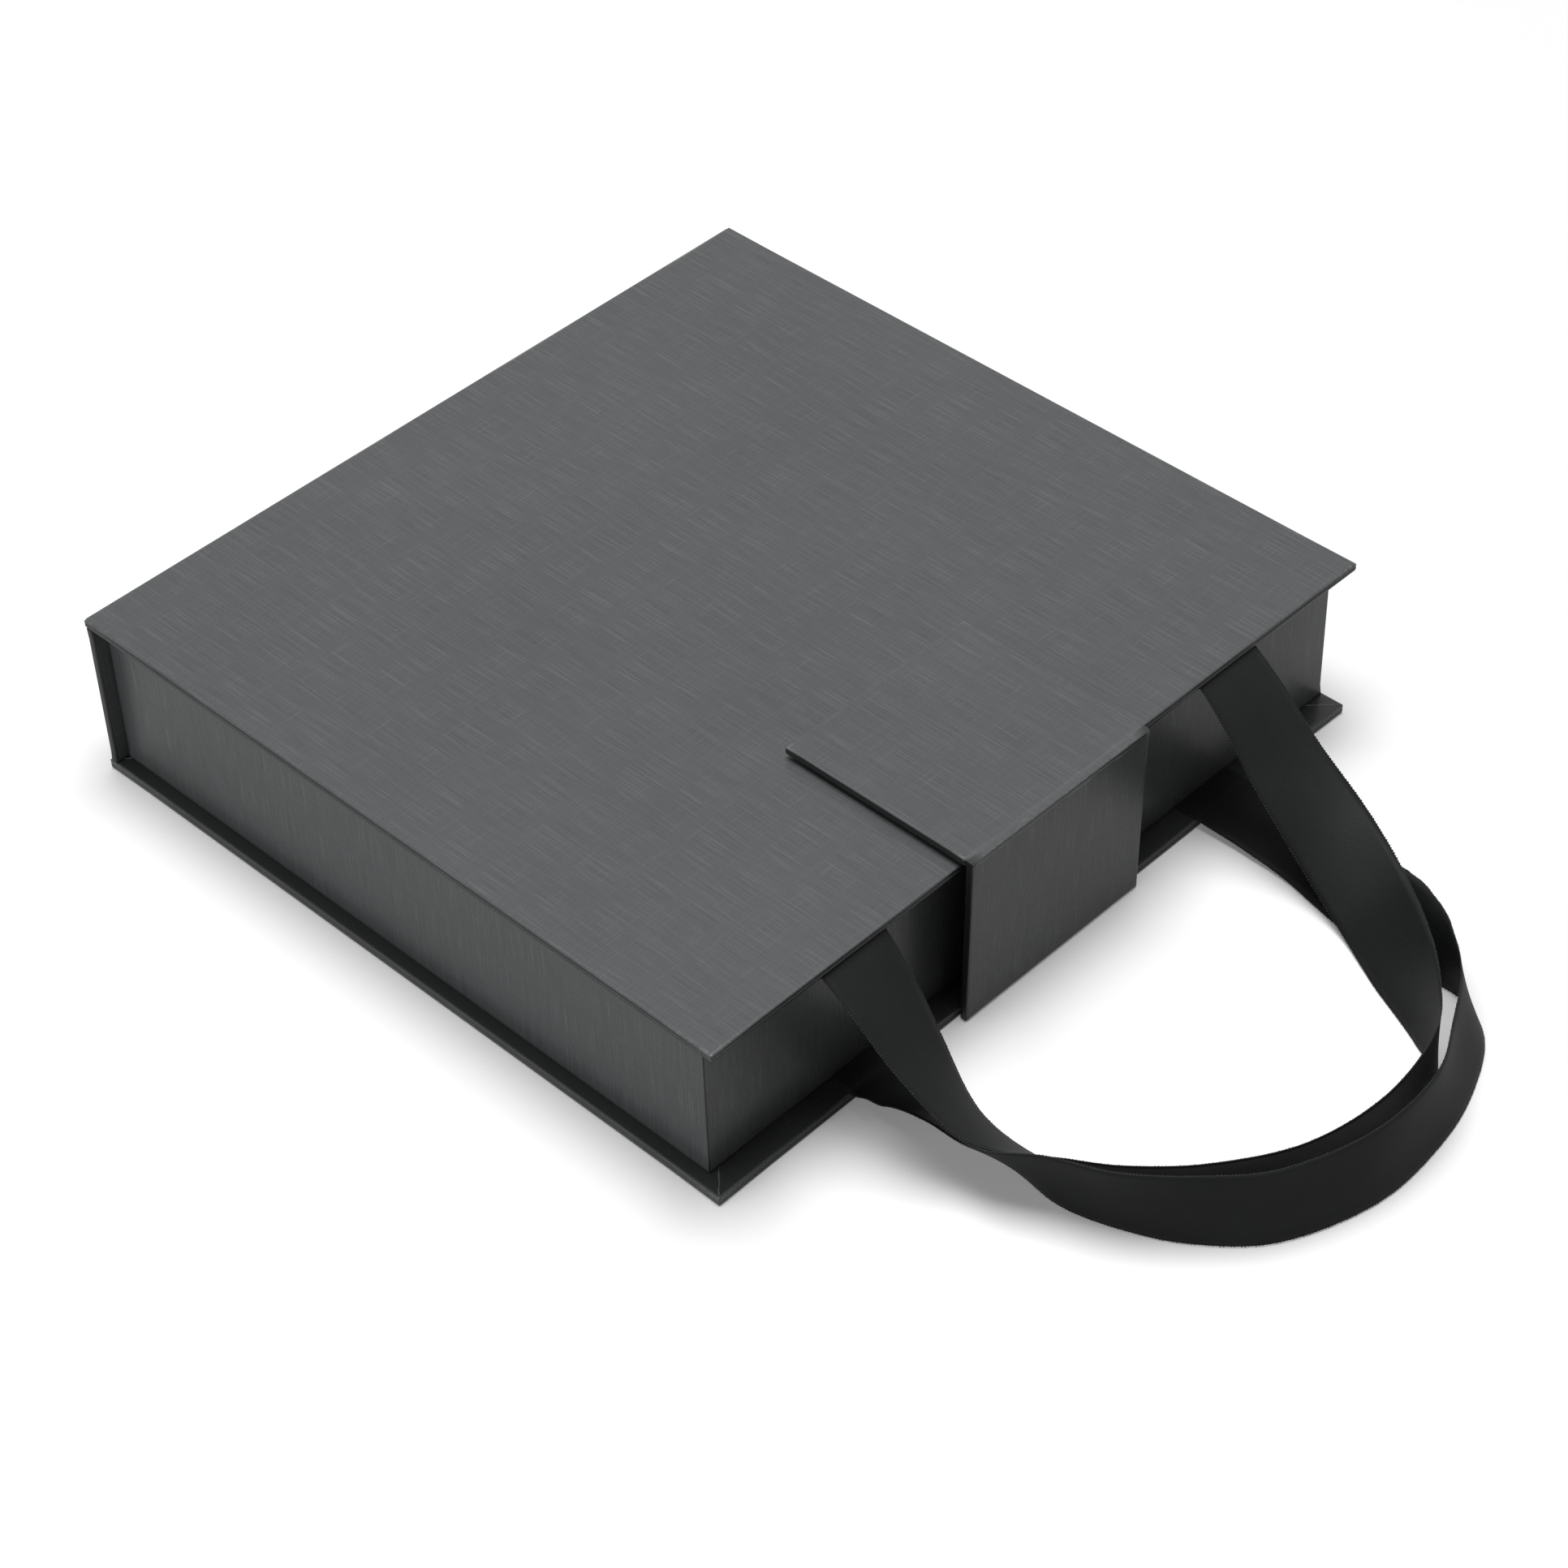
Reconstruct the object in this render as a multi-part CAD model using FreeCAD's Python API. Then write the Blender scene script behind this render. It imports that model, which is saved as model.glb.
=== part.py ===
# Book-style rigid gift box: wrapped case, glued-in tray, folding tab and two ribbon handles.
# Sizes are millimetres. The origin is the middle of the case's underside, +Z is up,
# the front with the handles is towards -Y and the spine is towards +Y.
import os
from math import cos, radians, sin

import FreeCAD
import Part
from FreeCAD import Vector

# Case
case_width = 270.0
case_depth = 260.0
case_height = 59.0
paper = 0.2
bottom_board_thickness = 3.0
lid_board_thickness = 2.4
spine_board_thickness = 2.4
turn_in = 15.0
fold_gap = 0.3

# Tray
tray_side_square = 2.5
tray_front_square = 8.0
tray_shift = 2.0
tray_board = 2.0
rim_turn_in = 10.0

# Closing tab
tab_width = 74.0
tab_shift = -2.5
tab_board = 2.2
tongue_reach = 65.0
tongue_pad_thickness = 1.4
tongue_pad_inset = 3.0
flap_lean = 1.9
flap_foot_gap = 0.8
flap_floor_gap = 0.6

# Magnets and keepers
magnet_length = 14.0
magnet_height = 5.0
magnet_thickness = 1.2
magnet_spacing = 40.0
keeper_thickness = 0.8
keeper_margin = 3.0

# Ribbon handles
ribbon_width = 25.0
ribbon_thickness = 0.5
tail_length = 20.0
tail_clearance = 0.1
steps_per_span = 2

# Ribbon stations: x, distance out from the case's front edge, height as a share of the
# ribbon's root height, and the roll of its width in degrees. Roll 0 lies flat, roll 90 stands
# on edge with the loop's outer edge up. A share of 0 leaves the ribbon resting on the table.
upper_stations = [
    (-80.5, -0.6, 1.0, 0),
    (-80.5, 10.0, 0.84, 7),
    (-80.0, 23.0, 0.585, 16),
    (-78.0, 37.0, 0.35, 35),
    (-74.0, 50.0, 0.235, 50),
    (-69.5, 63.0, 0.2, 58),
    (-61.0, 79.5, 0.2, 64),
    (-47.0, 96.0, 0.2, 70),
    (-26.0, 110.5, 0.2, 76),
    (0.0, 116.0, 0.2, 78),
    (23.5, 111.5, 0.2, 76),
    (41.5, 99.0, 0.2, 72),
    (55.0, 81.0, 0.19, 54),
    (66.0, 63.0, 0.2, 42),
    (73.0, 43.0, 0.36, 24),
    (75.5, 23.0, 0.61, 8),
    (76.5, 10.0, 0.84, 3),
    (76.7, -0.6, 1.0, 0),
]
lower_stations = [
    (-71.0, 0.4, 1.0, 0),
    (-73.0, 17.0, 0, 22),
    (-77.0, 33.0, 0, 45),
    (-78.5, 49.0, 0, 60),
    (-76.0, 67.0, 0, 70),
    (-70.0, 84.0, 0, 80),
    (-59.0, 101.0, 0, 88),
    (-42.0, 117.5, 0, 90),
    (-14.0, 128.0, 0, 91),
    (14.0, 128.2, 0, 97),
    (37.0, 121.5, 0, 108),
    (53.5, 109.5, 0, 112),
    (62.5, 94.0, 0, 92),
    (68.0, 78.5, 0, 56),
    (73.0, 61.0, 0, 27),
    (77.0, 38.0, 0.9, 8),
    (78.0, 18.0, 1.0, 2),
    (78.0, 0.4, 1.0, 0),
]

# Derived levels and positions
half_width = case_width / 2
front = -case_depth / 2
back = case_depth / 2
bottom_thickness = bottom_board_thickness + 2 * paper
lid_thickness = lid_board_thickness + 2 * paper
lid_under = case_height - lid_thickness
spine_thickness = spine_board_thickness + 2 * paper
spine_outer = back - fold_gap
spine_inner = spine_outer - spine_thickness
rim_level = lid_under - fold_gap
tray_left = -half_width + tray_side_square + tray_shift
tray_right = half_width - tray_side_square + tray_shift
tray_front = front + tray_front_square
tray_floor = bottom_thickness + tray_board
tab_left = tab_shift - tab_width / 2
tab_right = tab_shift + tab_width / 2
tab_thickness = tab_board + 2 * paper
tab_under = case_height + tongue_pad_thickness
tab_top = tab_under + tab_thickness
flap_inner = front - flap_foot_gap - flap_lean
tab_front = flap_inner - tab_thickness
upper_root = lid_under - 2 * fold_gap
lower_root = bottom_thickness - ribbon_thickness / 2


def block(x0, x1, y0, y1, z0, z1):
    """Box between two corners."""
    return Part.makeBox(x1 - x0, y1 - y0, z1 - z0, Vector(x0, y0, z0))


def panel(x0, x1, y0, y1, z0, z1):
    """Board and its paper envelope, filling the given box between them."""
    board = block(x0 + paper, x1 - paper, y0 + paper, y1 - paper, z0 + paper, z1 - paper)
    envelope = block(x0, x1, y0, y1, z0, z1).cut(board)
    return board, envelope


def tail_blocks(stations, y_front, z0, z1, slack):
    """Flat ribbon ends behind a front edge, or with slack the recesses that take them."""
    half = ribbon_width / 2 + slack
    ends = [stations[0][0], stations[-1][0]]
    y_back = y_front + tail_length + slack
    return Part.makeCompound([block(x - half, x + half, y_front, y_back, z0, z1) for x in ends])


def magnet_row(y0, y1, z0, z1, length):
    """Two equal bars side by side about the tab's middle."""
    bars = []
    for side in (-1, 1):
        middle = tab_shift + side * magnet_spacing / 2
        bars.append(block(middle - length / 2, middle + length / 2, y0, y1, z0, z1))
    return Part.makeCompound(bars)


def blended(stations):
    """Stations filled in with smooth steps between neighbours."""
    last = len(stations) - 1
    filled = []
    for i in range(last):
        near = [stations[max(i - 1, 0)], stations[i], stations[i + 1], stations[min(i + 2, last)]]
        for k in range(steps_per_span):
            s = k / steps_per_span
            row = []
            for a, b, c, d in zip(*near):
                slope = c - a
                curve = 2 * a - 5 * b + 4 * c - d
                twist = 3 * b - a - 3 * c + d
                row.append(b + (slope * s + curve * s ** 2 + twist * s ** 3) / 2)
            filled.append(row)
    filled.append(stations[last])
    return filled


def ribbon_loop(stations, root):
    """Thin ribbon through the stations, as one closed solid."""
    rows = blended(stations)
    middles = []
    for x, out, share, roll in rows:
        lowest = (ribbon_width * sin(radians(roll)) + ribbon_thickness) / 2
        middles.append(Vector(x, front - out, max(share * root, lowest)))
    wires = []
    for i, row in enumerate(rows):
        ahead = middles[min(i + 1, len(rows) - 1)] - middles[max(i - 1, 0)]
        ahead.normalize()
        level = ahead.cross(Vector(0, 0, 1))
        if i in (0, len(rows) - 1):
            level = Vector(-1 if i == 0 else 1, 0, 0)
        level.normalize()
        rise = level.cross(ahead)
        roll = radians(row[3])
        across = (level * cos(roll) + rise * sin(roll)) * (ribbon_width / 2)
        through = across.cross(ahead)
        through.normalize()
        through = through * (ribbon_thickness / 2)
        middle = middles[i]
        corners = [
            middle - across - through,
            middle + across - through,
            middle + across + through,
            middle - across + through,
        ]
        wires.append(Part.makePolygon(corners + corners[:1]))
    return Part.makeLoft(wires, True, True)


def bottom_panel():
    """Bottom board, its paper, the steel keepers and the lower ribbon's glued ends."""
    top = bottom_thickness
    board, wrap = panel(-half_width, half_width, front, back, 0, top)
    window = block(-half_width + turn_in, half_width - turn_in, front + turn_in, back - turn_in,
                   top - paper, top)
    sunk = top - ribbon_thickness
    recess = tail_blocks(lower_stations, front, sunk, top, tail_clearance)
    tails = tail_blocks(lower_stations, front, sunk, top, 0)
    keeper_y = front + paper
    keepers = magnet_row(keeper_y, keeper_y + keeper_thickness, paper, top - paper,
                         magnet_length + keeper_margin)
    board = board.cut(recess).cut(keepers)
    wrap = wrap.cut(window).cut(recess)
    return board, wrap, keepers, tails


def lid_panel():
    """Lid board, its paper, its lining and the upper ribbon's glued ends."""
    board, wrap = panel(-half_width, half_width, front, back, lid_under, case_height)
    liner = block(-half_width + turn_in, half_width - turn_in, front + turn_in, back - turn_in,
                  lid_under, lid_under + paper)
    raised = lid_under + ribbon_thickness
    recess = tail_blocks(upper_stations, front, lid_under, raised, tail_clearance)
    tails = tail_blocks(upper_stations, front, lid_under, raised, 0)
    return board.cut(recess), wrap.cut(liner).cut(recess), liner.cut(recess), tails


def tray_pieces():
    """Tray floor, four walls, covering paper and linings, by node name."""
    x0 = tray_left + paper
    x1 = tray_right - paper
    y0 = tray_front + paper
    y1 = spine_inner - paper
    z0 = bottom_thickness
    z1 = rim_level - paper
    t = tray_board
    inner = (x0 + t, x1 - t, y0 + t, y1 - t)
    lined = (x0 + t + paper, x1 - t - paper, y0 + t + paper, y1 - t - paper)
    seam = rim_level - rim_turn_in
    outer_skin = block(tray_left, tray_right, tray_front, spine_inner, z0, rim_level)
    walls = block(x0, x1, y0, y1, z0, z1)
    hollow = block(*inner, z0, z1)
    mouth = block(*lined, z0, rim_level)
    turned = block(*inner, seam, z1)
    wrap = outer_skin.cut(walls).cut(mouth).fuse(turned.cut(mouth)).removeSplitter()
    lining = block(*inner, tray_floor, seam).cut(mouth)
    return {
        "tray_base": block(*inner, z0, tray_floor),
        "tray_front_wall": block(x0, x1, y0, y0 + t, z0, z1),
        "tray_back_wall": block(x0, x1, y1 - t, y1, z0, z1),
        "tray_left_wall": block(x0, x0 + t, y0 + t, y1 - t, z0, z1),
        "tray_right_wall": block(x1 - t, x1, y0 + t, y1 - t, z0, z1),
        "tray_wrap": wrap,
        "tray_wall_lining": lining,
        "tray_floor_lining": block(*lined, tray_floor, tray_floor + paper),
    }


def flap_profile(inset):
    """Leaning strip seen from the side, drawn in by the inset, as a face at the tab's left."""
    top = tab_top - inset
    low = flap_floor_gap + inset
    slope = flap_lean / (tab_top - flap_floor_gap)
    points = []
    for y, z in ((tab_front + inset, top), (flap_inner - inset, top),
                 (flap_inner - inset, low), (tab_front + inset, low)):
        points.append(Vector(tab_left + inset, y + slope * (tab_top - z), z))
    return Part.Face(Part.makePolygon(points + points[:1]))


def flap_pieces():
    """Flap board with its magnets inside, and the flap's paper."""
    outer = flap_profile(0).extrude(Vector(tab_width, 0, 0))
    board = flap_profile(paper).extrude(Vector(tab_width - 2 * paper, 0, 0))
    wrap = outer.cut(board)
    low = flap_floor_gap + paper + tab_board / 2
    middle = (tab_front + flap_inner) / 2 + flap_lean
    magnets = magnet_row(middle - magnet_thickness / 2, middle + magnet_thickness / 2,
                         low, low + magnet_height, magnet_length)
    return board.cut(magnets), wrap, magnets


def build():
    """All pieces by node name."""
    nodes = tray_pieces()
    board, wrap, keepers, tails = bottom_panel()
    nodes["bottom_board"] = board
    nodes["bottom_wrap"] = wrap
    nodes["keeper_strips"] = keepers
    nodes["lower_handle_tails"] = tails
    board, wrap = panel(-half_width, half_width, spine_inner, spine_outer, bottom_thickness, rim_level)
    nodes["spine_board"] = board
    nodes["spine_wrap"] = wrap
    board, wrap, liner, tails = lid_panel()
    nodes["lid_board"] = board
    nodes["lid_wrap"] = wrap
    nodes["lid_liner"] = liner
    nodes["upper_handle_tails"] = tails
    tongue_front = flap_inner + fold_gap
    tongue_back = front + tongue_reach
    board, wrap = panel(tab_left, tab_right, tongue_front, tongue_back, tab_under, tab_top)
    nodes["tongue_board"] = board
    nodes["tongue_wrap"] = wrap
    nodes["tongue_pad"] = block(tab_left + tongue_pad_inset, tab_right - tongue_pad_inset,
                                front + tongue_pad_inset, tongue_back - tongue_pad_inset,
                                case_height, tab_under)
    board, wrap, magnets = flap_pieces()
    nodes["flap_board"] = board
    nodes["flap_wrap"] = wrap
    nodes["flap_magnets"] = magnets
    nodes["upper_handle"] = ribbon_loop(upper_stations, upper_root)
    nodes["lower_handle"] = ribbon_loop(lower_stations, lower_root)
    return nodes


os.makedirs("parts", exist_ok=True)
for name, shape in build().items():
    if not shape.isValid():
        raise ValueError(name + " is not a valid solid")
    shape.exportStep("parts/" + name + ".step")
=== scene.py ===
"""Book-style gift box with a folding tab and two ribbon handles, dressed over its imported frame."""

import math

import bmesh
import bpy
from bpy.props import FloatProperty, FloatVectorProperty, IntProperty, PointerProperty
from mathutils import Matrix, Vector


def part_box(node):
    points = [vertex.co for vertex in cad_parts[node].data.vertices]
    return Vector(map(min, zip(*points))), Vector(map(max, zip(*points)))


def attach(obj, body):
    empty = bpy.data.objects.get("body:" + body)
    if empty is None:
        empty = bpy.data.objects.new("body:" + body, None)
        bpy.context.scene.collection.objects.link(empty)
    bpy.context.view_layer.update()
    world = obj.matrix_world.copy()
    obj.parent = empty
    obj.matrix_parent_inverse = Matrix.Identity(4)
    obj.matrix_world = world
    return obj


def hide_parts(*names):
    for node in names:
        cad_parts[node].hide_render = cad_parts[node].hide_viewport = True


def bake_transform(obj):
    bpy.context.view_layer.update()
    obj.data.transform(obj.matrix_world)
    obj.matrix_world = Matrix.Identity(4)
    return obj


bl_info = {
    "name": "Ribbon-handled gift box",
    "version": (1, 0, 0),
    "blender": (4, 5, 0),
    "location": "View3D > Sidebar > Gift box",
    "description": "Covers, folds and ribbons of a book-style gift box, built over its frame",
    "category": "Object",
}

MM = 0.001
WHITE = (1.0, 1.0, 1.0, 1.0)
BLACK = (0.0, 0.0, 0.0, 1.0)

# Camera's sensor in mm, its clip distances in metres, half the table's width and its drop.
SENSOR = 36
CLIP_NEAR, CLIP_FAR = 0.01, 50
TABLE_HALF = 6
TABLE_DROP = 0.05 * MM

# Light of the surroundings, the table's glow near the box and in reflections, and the squares of
# the distances between which the glow rises to its full strength.
WORLD_LIGHT = 0.06
NEAR_GLOW = 0.15
MIRROR_GLOW = 0.14
GLOW_START, GLOW_END = 0.16, 1.2

# Threads of the linen grain per metre, radians per metre of the spine's two wavers, mean height of
# a half sine, and how far the ribbon's clear ribs and painted edge highlights reach.
THREADS = 2600
SPINE_WAVES, FINE_WAVES = 95, 247
MEAN_SINE = 0.64
ROOT_FADE = 0.09
EDGE_HIGHLIGHT_FADE = 1.5 * MM

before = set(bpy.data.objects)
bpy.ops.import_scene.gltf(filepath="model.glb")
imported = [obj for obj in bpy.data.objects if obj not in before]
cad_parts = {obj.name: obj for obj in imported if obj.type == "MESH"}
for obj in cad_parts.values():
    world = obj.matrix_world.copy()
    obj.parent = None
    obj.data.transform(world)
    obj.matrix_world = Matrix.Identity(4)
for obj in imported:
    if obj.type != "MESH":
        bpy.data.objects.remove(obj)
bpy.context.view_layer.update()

# Ribbon stations in mm: x, distance out from the lid's front edge, height of the ribbon's middle
# and roll of its width in degrees. A height of 0 leaves the ribbon on the table.
UPPER_STATIONS = (
    (-80.5, -20.0, 56.1, 0),
    (-80.5, -4.0, 56.1, 0),
    (-80.5, -0.4, 55.6, 0),
    (-80.5, 10.0, 46.7, 7),
    (-80.0, 23.0, 32.5, 16),
    (-78.0, 37.0, 17.5, 30),
    (-74.0, 50.0, 11.0, 42),
    (-69.0, 63.5, 10.6, 55),
    (-61.0, 79.5, 0, 61),
    (-47.0, 96.0, 0, 66),
    (-26.0, 110.5, 0, 71),
    (0.0, 117.4, 0, 81),
    (26.5, 115.9, 0, 95.5),
    (41.0, 102.0, 0, 78),
    (55.5, 81.5, 0, 54),
    (66.5, 63.0, 11.1, 40),
    (73.0, 43.0, 20.0, 24),
    (75.5, 23.0, 34.0, 8),
    (76.5, 10.0, 46.7, 3),
    (76.7, -0.4, 55.6, 0),
    (76.7, -4.0, 56.1, 0),
    (76.7, -20.0, 56.1, 0),
)
LOWER_STATIONS = (
    (-71.0, -9.0, 3.6, 0),
    (-71.0, -2.0, 3.6, 0),
    (-71.2, 2.0, 3.4, 1),
    (-71.9, 9.0, 4.2, 12),
    (-73.0, 17.0, 0, 20),
    (-77.0, 33.0, 0, 41),
    (-79.3, 50.0, 0, 53),
    (-76.0, 67.0, 0, 77),
    (-70.0, 84.0, 0, 84),
    (-59.0, 101.0, 0, 94),
    (-42.0, 117.0, 0, 99),
    (-14.0, 127.0, 0, 100),
    (14.0, 126.5, 0, 100),
    (35.0, 119.0, 0, 109),
    (52.0, 109.0, 0, 109),
    (61.0, 94.5, 0, 92),
    (65.0, 78.5, 0, 57),
    (70.5, 61.5, 0, 32),
    (77.0, 38.0, 2.9, 8),
    (78.0, 18.0, 3.2, 2),
    (78.0, 2.0, 3.4, 0),
    (78.0, -2.0, 3.6, 0),
    (78.0, -9.0, 3.6, 0),
)


class GiftBoxColours(bpy.types.PropertyGroup):
    """Colours of the box's materials."""

    cover: FloatVectorProperty(
        name="Cover", description="Linen-textured covering paper", subtype="COLOR",
        default=(0.075, 0.078, 0.08), min=0, max=1)
    worn: FloatVectorProperty(
        name="Worn cover", description="Rubbed paper on folds and fibres", subtype="COLOR",
        default=(0.26, 0.27, 0.275), min=0, max=1)
    lining: FloatVectorProperty(
        name="Lining", description="Plain paper inside the tray and lid", subtype="COLOR",
        default=(0.028, 0.029, 0.03), min=0, max=1)
    ribbon: FloatVectorProperty(
        name="Ribbon", description="Woven ribbon of the handles", subtype="COLOR",
        default=(0.0075, 0.008, 0.008), min=0, max=1)
    board: FloatVectorProperty(
        name="Board", description="Raw grey board", subtype="COLOR",
        default=(0.34, 0.325, 0.3), min=0, max=1)
    steel: FloatVectorProperty(
        name="Steel", description="Magnets and keeper strips", subtype="COLOR",
        default=(0.5, 0.5, 0.52), min=0, max=1)
    table: FloatVectorProperty(
        name="Table", description="Pale floor under the box", subtype="COLOR",
        default=(0.6, 0.6, 0.6), min=0, max=1)


class GiftBoxSizes(bpy.types.PropertyGroup):
    """Sizes of the covers and ribbons."""

    paper: FloatProperty(
        name="Paper", description="Thickness of the covering paper", unit="LENGTH",
        default=0.2 * MM)
    corner: FloatProperty(
        name="Corner radius", description="Plan radius of a wrapped corner", unit="LENGTH",
        default=0.5 * MM)
    nub: FloatProperty(
        name="Corner nub", description="How far folded paper stands out at a corner",
        unit="LENGTH", default=0.35 * MM)
    groove: FloatProperty(
        name="Edge hollow", description="Hollow between the rolled lips of a board's edge",
        unit="LENGTH", default=0.28 * MM)
    wave: FloatProperty(
        name="Spine wave", description="Waver of the paper along the spine fold",
        unit="LENGTH", default=0.25 * MM)
    rim_turn_in: FloatProperty(
        name="Rim turn-in", description="Depth of the paper turned into the tray",
        unit="LENGTH", default=10 * MM)
    ribbon_width: FloatProperty(
        name="Ribbon width", description="Width of the handle ribbon", unit="LENGTH",
        default=25 * MM)
    ribbon_thickness: FloatProperty(
        name="Ribbon thickness", description="Thickness of the handle ribbon", unit="LENGTH",
        default=0.35 * MM)
    ribbon_crown: FloatProperty(
        name="Ribbon crown", description="How far the ribbon's middle stands above its edges",
        unit="LENGTH", default=0.4 * MM)
    bead: FloatProperty(
        name="Selvedge bead", description="Radius of one loop of the ribbon's woven edge",
        unit="LENGTH", default=0.3 * MM)
    bead_pitch: FloatProperty(
        name="Selvedge pitch", description="Distance between loops of the woven edge",
        unit="LENGTH", default=0.95 * MM)
    ribbon_steps: IntProperty(
        name="Ribbon steps", description="Sections between two stations of a ribbon",
        default=8, min=2)


class GiftBoxView(bpy.types.PropertyGroup):
    """Where the camera stands."""

    place: FloatVectorProperty(
        name="Camera", description="Position of the camera", subtype="XYZ",
        default=(-0.6025, -0.6346, 0.7873))
    azimuth: FloatProperty(
        name="Azimuth", description="Turn of the camera round the box", unit="ROTATION",
        default=math.radians(-44.6))
    elevation: FloatProperty(
        name="Elevation", description="Height of the camera above the table",
        unit="ROTATION", default=math.radians(42.67))
    roll: FloatProperty(
        name="Roll", description="Tilt of the camera about its own line of sight",
        unit="ROTATION", default=math.radians(-2.08))
    lens: FloatProperty(
        name="Lens", description="Focal length on a 36 mm sensor", default=88.6)


class GiftBoxSettings(bpy.types.PropertyGroup):
    """All settings of the gift box."""

    colours: PointerProperty(type=GiftBoxColours)
    sizes: PointerProperty(type=GiftBoxSizes)
    view: PointerProperty(type=GiftBoxView)


def settings():
    """The gift box's settings in this scene."""
    return bpy.context.scene.gift_box


def add_node(tree, kind, options=None, sockets=None):
    """Adds a node, sets its options, then its sockets, from values or from other sockets."""
    made = tree.nodes.new(kind)
    for key, value in (options or {}).items():
        setattr(made, key, value)
    for key, value in (sockets or {}).items():
        if isinstance(value, bpy.types.NodeSocket):
            tree.links.new(value, made.inputs[key])
        else:
            made.inputs[key].default_value = value
    return made


def add_object(name, data):
    """A new object in the scene."""
    obj = bpy.data.objects.new(name, data)
    bpy.context.scene.collection.objects.link(obj)
    return obj


class Wire:
    """A shader socket that takes part in arithmetic."""

    def __init__(self, shader, socket):
        self.shader = shader
        self.socket = socket

    def _math(self, operation, first, second):
        return self.shader.node("ShaderNodeMath", {"operation": operation}, {0: first, 1: second})

    def __add__(self, other):
        return self._math("ADD", self, other)

    __radd__ = __add__

    def __mul__(self, other):
        return self._math("MULTIPLY", self, other)

    __rmul__ = __mul__

    def __sub__(self, other):
        return self._math("SUBTRACT", self, other)

    def __rsub__(self, other):
        return self._math("SUBTRACT", other, self)


class Shader:
    """A material while its nodes are being added."""

    def __init__(self, name):
        self.material = bpy.data.materials.new(name)
        self.material.use_nodes = True
        self.tree = self.material.node_tree
        self.tree.nodes.clear()

    def node(self, kind, options=None, sockets=None, out=0):
        """Adds a node and returns one of its outputs."""
        ends = {key: value.socket if isinstance(value, Wire) else value
                for key, value in (sockets or {}).items()}
        return Wire(self, add_node(self.tree, kind, options, ends).outputs[out])

    def place(self, source="Object"):
        """The x, y and z of the surface point."""
        where = self.node("ShaderNodeTexCoord", out=source)
        split = self.node("ShaderNodeSeparateXYZ", None, {0: where}).socket.node
        return [Wire(self, socket) for socket in split.outputs]

    def point(self, x, y, z):
        """A place from three numbers."""
        return self.node("ShaderNodeCombineXYZ", None, {0: x, 1: y, 2: z})

    def noise(self, x, y, z, detail=2.0):
        """Cloudy pattern with features one unit wide."""
        return self.node("ShaderNodeTexNoise", None,
                         {"Vector": self.point(x, y, z), "Scale": 1.0, "Detail": detail}, "Fac")

    def even_noise(self, where, cells, detail=2.0):
        """Cloudy pattern with a number of cells per metre that is the same each way."""
        return self.noise(*(part * cells for part in where), detail)

    def step(self, value, low, high):
        """0 below low, 1 above high and a smooth rise between them."""
        return self.node("ShaderNodeMapRange", {"interpolation_type": "SMOOTHSTEP"},
                         {"Value": value, "From Min": low, "From Max": high})

    def mix(self, factor, first, second):
        """Blend of two colours."""
        return self.node("ShaderNodeMix", {"data_type": "RGBA"},
                         {0: factor, 6: first, 7: second}, 2)

    def attribute(self, name):
        """A number kept on the mesh's points."""
        return self.node("ShaderNodeAttribute", {"attribute_name": name}, None, "Fac")

    def surface(self, height=None, depth=0.0, strength=0.0, **sockets):
        """Ends the material in a principled surface, with a bump where a height is given."""
        values = {key.replace("_", " "): value for key, value in sockets.items()}
        if height is not None:
            values["Normal"] = self.node("ShaderNodeBump", None, {
                "Strength": strength, "Distance": depth, "Height": height})
        bsdf = self.node("ShaderNodeBsdfPrincipled", None, values)
        add_node(self.tree, "ShaderNodeOutputMaterial", None, {"Surface": bsdf.socket})
        return self.material


def shade(colour, factor):
    """A colour made darker or lighter, with full alpha."""
    return tuple(min(1.0, part * factor) for part in colour) + (1.0,)


def linen_paper(name, upright):
    """Covering paper with an embossed linen grain that runs along Y, or up a wall."""
    known = bpy.data.materials.get(name)
    if known:
        return known
    colours = settings().colours
    s = Shader(name)
    where = x, y, z = s.place()
    across, along = (x + y, z) if upright else (x, y)
    thread = s.noise(across * THREADS, along * 60, z * 3, detail=0.0)
    weft = s.noise(across * 70, along * THREADS, 8.0, detail=0.0)
    pulp = s.even_noise(where, 1800)
    cloud = s.even_noise(where, 16)
    crest = 0.6, 0.72
    streak = s.step(thread, *crest)
    furrow = s.step(1 - thread, *crest)
    cross = s.step(weft, 0.62, 0.74)
    tone = (0.37 + 0.45 * streak + 0.28 * cross - 0.18 * furrow + 0.2 * (cloud - 0.5)
            + 0.45 * (pulp - 0.5))
    paper = s.mix(tone, shade(colours.cover, 0.8), shade(colours.cover, 1.5))
    flecks = s.node("ShaderNodeTexVoronoi", {"feature": "F1"}, {
        "Vector": s.point(*(part * 60 for part in where)), "Scale": 1.0}, "Distance")
    dust = 1 - s.step(flecks, 0.006, 0.014)
    rubbed = s.attribute("wear") * s.step(s.even_noise(where, 900, 3.0), 0.36, 0.64)
    paper = s.mix(rubbed, paper, shade(colours.worn, 1.0))
    paper = s.mix(dust * 0.6, paper, shade(colours.worn, 1.4))
    # The 'seam' mark darkens the paper towards a near-black cover colour. It is painted shade on
    # edge faces, under the lid's lip, on the bottom's top face, on the spine's ends, on the tab's
    # sides and under its crease. It is also the tray's dark corner seams.
    paper = s.mix(s.attribute("seam"), paper, shade(colours.cover, 0.15))
    grain = thread * 0.8 + weft * 0.4 + pulp * 0.3
    return s.surface(
        height=grain, depth=0.12 * MM, strength=0.3,
        Base_Color=paper,
        Roughness=0.34 - 0.08 * streak + 0.12 * (cloud - 0.5),
        Specular_IOR_Level=0.28,
    )


def flat_paper():
    """Covering paper of the parts that lie flat."""
    return linen_paper("linen paper flat", False)


def wall_paper():
    """Covering paper of the parts that stand."""
    return linen_paper("linen paper wall", True)


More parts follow.
